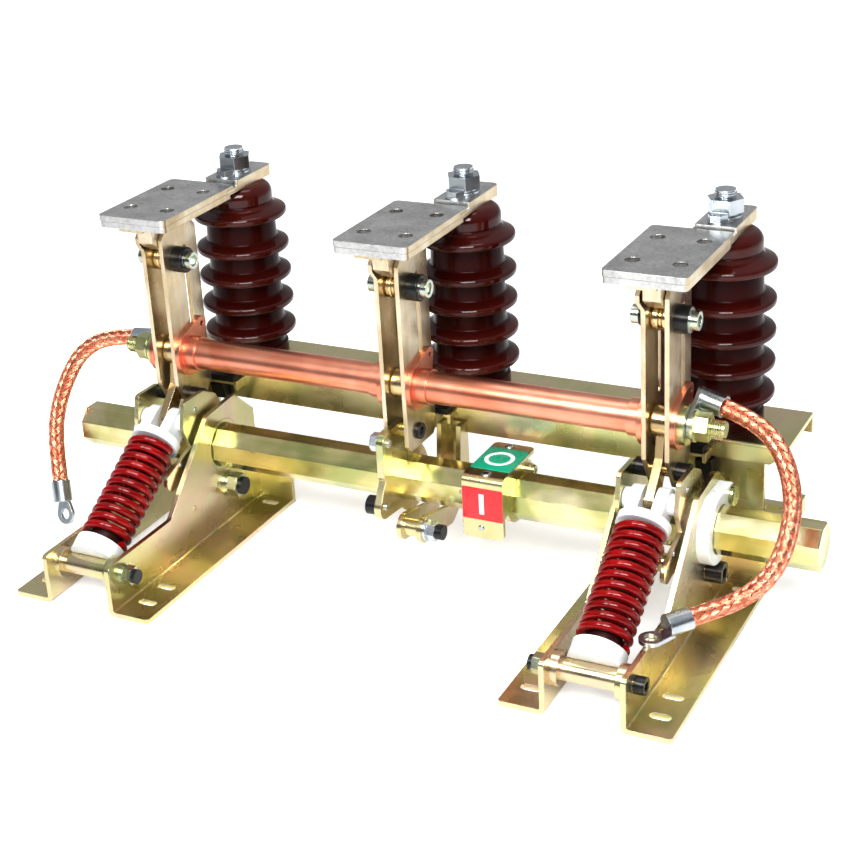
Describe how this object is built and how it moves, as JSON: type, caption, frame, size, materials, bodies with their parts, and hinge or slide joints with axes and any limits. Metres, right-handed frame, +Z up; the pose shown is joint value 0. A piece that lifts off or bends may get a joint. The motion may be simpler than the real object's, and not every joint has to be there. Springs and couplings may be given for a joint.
{
  "type": "high-voltage earthing switch",
  "caption": "Indoor three-phase earthing switch: spring-loaded knife blades on a turning shaft, ribbed post insulators with drilled terminals, copper tube link and braided earth leads.",
  "frame": {"origin": "centre of the four outer foot slots, at the underside of the feet", "axes": "+X along the operating shaft towards its longer end, +Z up, -Y towards the springs' lower pins, where the free ends of the feet are"},
  "size_m": [0.6665, 0.2908, 0.3053],
  "materials": {
    "yellow_zinc": "yellow passivated zinc plate, satin",
    "clear_zinc": "bright zinc plate",
    "copper": "brushed copper",
    "tinned_copper": "tin plated copper, satin",
    "insulator_glaze": "dark brown gloss",
    "white_nylon": "white moulded nylon",
    "black_nylon": "black moulded rubber",
    "red_enamel": "red gloss enamel on spring steel",
    "tinned_lug": "tinned, satin"
  },
  "bodies": {
    "frame": {"rear_beam": "yellow_zinc", "top_studs": "clear_zinc", "centre_support": "yellow_zinc", "closing_stops": "black_nylon", "left_bracket_inner_plate": "yellow_zinc", "left_bracket_outer_plate": "yellow_zinc", "left_bearings": "white_nylon", "left_cross_pins": "yellow_zinc", "left_braid": "copper", "left_braid_end_lug": "tinned_lug", "right_bracket_inner_plate": "yellow_zinc", "right_bracket_outer_plate": "yellow_zinc", "right_bearings": "white_nylon", "right_cross_pins": "yellow_zinc", "right_braid": "copper", "right_braid_end_lug": "tinned_lug", "left_insulator": "insulator_glaze", "left_terminal": "tinned_copper", "middle_insulator": "insulator_glaze", "middle_terminal": "tinned_copper", "right_insulator": "insulator_glaze", "right_terminal": "tinned_copper"},
    "rotor": {"operating_shaft": "yellow_zinc", "middle_crank": "yellow_zinc", "clamp_bolts": "black_nylon", "blade_spacers": "yellow_zinc", "end_flanges": "copper", "position_indicator": "clear_zinc", "left_blades": "tinned_copper", "middle_blades": "tinned_copper", "right_blades": "tinned_copper", "left_cranks": "yellow_zinc", "left_copper_tube": "copper", "left_link": "clear_zinc", "left_braid_top_lug": "tinned_lug", "right_cranks": "yellow_zinc", "right_copper_tube": "copper", "right_link": "clear_zinc", "right_braid_top_lug": "tinned_lug"},
    "left_head": {"left_spring_head": "white_nylon"},
    "left_seat": {"left_spring_seat": "white_nylon", "left_spring": "red_enamel"},
    "right_head": {"right_spring_head": "white_nylon"},
    "right_seat": {"right_spring_seat": "white_nylon", "right_spring": "red_enamel"}
  },
  "joints": [
    {"name": "shaft_turn", "type": "hinge", "parent": "frame", "child": "rotor", "pos_m": [0, 0.055, 0.073], "axis": [1, 0, 0], "range_deg": [0, 66], "deforming": ["left_spring", "right_spring", "left_braid", "right_braid"]},
    {"name": "left_seat_swing", "type": "hinge", "parent": "frame", "child": "left_seat", "pos_m": [-0.21, -0.097, 0.029], "axis": [1, 0, 0], "range_deg": [-17.6, 0]},
    {"name": "left_head_swing", "type": "hinge", "parent": "rotor", "child": "left_head", "pos_m": [-0.21, 0.024, 0.1035], "axis": [1, 0, 0], "range_deg": [-83.6, 0]},
    {"name": "right_seat_swing", "type": "hinge", "parent": "frame", "child": "right_seat", "pos_m": [0.21, -0.097, 0.029], "axis": [1, 0, 0], "range_deg": [-17.6, 0]},
    {"name": "right_head_swing", "type": "hinge", "parent": "rotor", "child": "right_head", "pos_m": [0.21, 0.024, 0.1035], "axis": [1, 0, 0], "range_deg": [-83.6, 0]}
  ],
  "couplings": [
    {"joint": "left_seat_swing", "follows": "shaft_turn", "ratio": -0.265},
    {"joint": "left_head_swing", "follows": "shaft_turn", "ratio": -1.265},
    {"joint": "right_seat_swing", "follows": "shaft_turn", "ratio": -0.265},
    {"joint": "right_head_swing", "follows": "shaft_turn", "ratio": -1.265}
  ]
}
